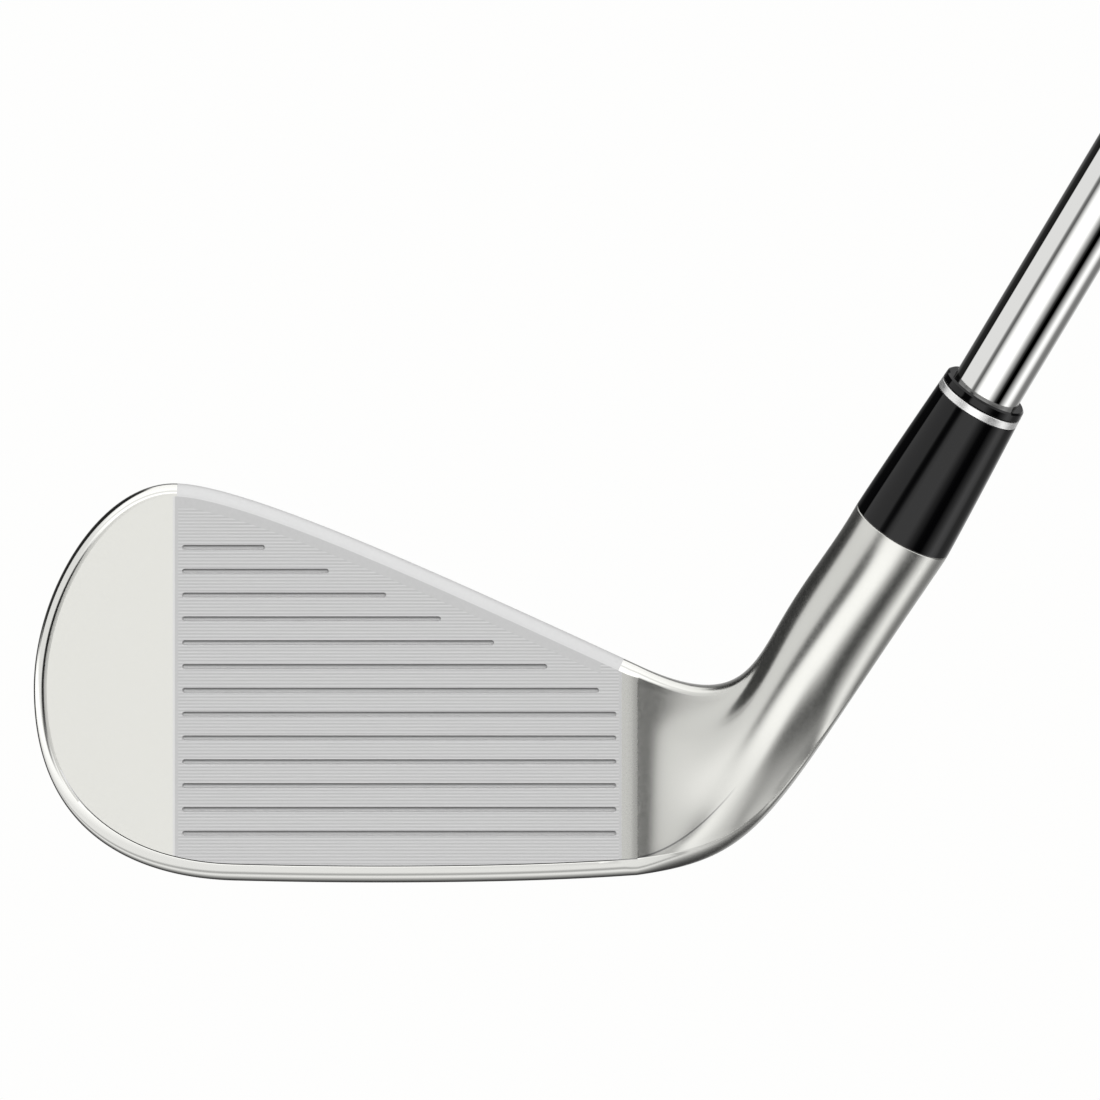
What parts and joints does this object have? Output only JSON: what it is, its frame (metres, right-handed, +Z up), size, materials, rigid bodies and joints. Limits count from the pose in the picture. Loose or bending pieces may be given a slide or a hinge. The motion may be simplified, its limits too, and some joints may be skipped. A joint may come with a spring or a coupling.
{
  "type": "iron golf club",
  "caption": "Right-handed cavity-back iron: scored steel face plate in a cast head, stepped steel shaft with ferrule and rubber grip.",
  "frame": {"origin": "point where the shaft's axis meets the ground when the club stands at address (mount address_point)", "axes": "+Z up, +X from the toe towards the heel and the grip, the face looks towards -Y and leans back by the loft; the shaft rises in the XZ plane"},
  "size_m": [0.5804, 0.0335, 0.8575],
  "materials": {
    "head_body": "satin chrome with a polished rolled edge",
    "face_plate": "smooth satin toe, finely milled middle with score lines",
    "toe_weight": "sintered tungsten alloy, dark grey",
    "badge_tape": "foam adhesive layer",
    "damper_pad": "soft matte elastomer",
    "badge_plate": "anodised, brushed lengthwise",
    "hosel_epoxy": "cured epoxy",
    "tip_weight": "turned",
    "shaft": "mirror chrome",
    "ferrule_body": "turned and polished",
    "ferrule_ring": "bright",
    "ferrule_cap": "turned and polished",
    "shaft_label": "plain printed film, no text",
    "grip_tape": "double-sided tape",
    "grip_sleeve": "textured matte rubber",
    "grip_cap": "moulded matte rubber"
  },
  "bodies": {
    "root": {"head_body": "head_body", "face_plate": "face_plate", "toe_weight": "toe_weight", "badge_tape": "badge_tape", "damper_pad": "damper_pad", "badge_plate": "badge_plate", "hosel_epoxy": "hosel_epoxy", "tip_weight": "tip_weight", "shaft": "shaft", "ferrule_body": "ferrule_body", "ferrule_ring": "ferrule_ring", "ferrule_cap": "ferrule_cap", "shaft_label": "shaft_label", "grip_tape": "grip_tape", "grip_sleeve": "grip_sleeve", "grip_cap": "grip_cap"}
  },
  "joints": []
}
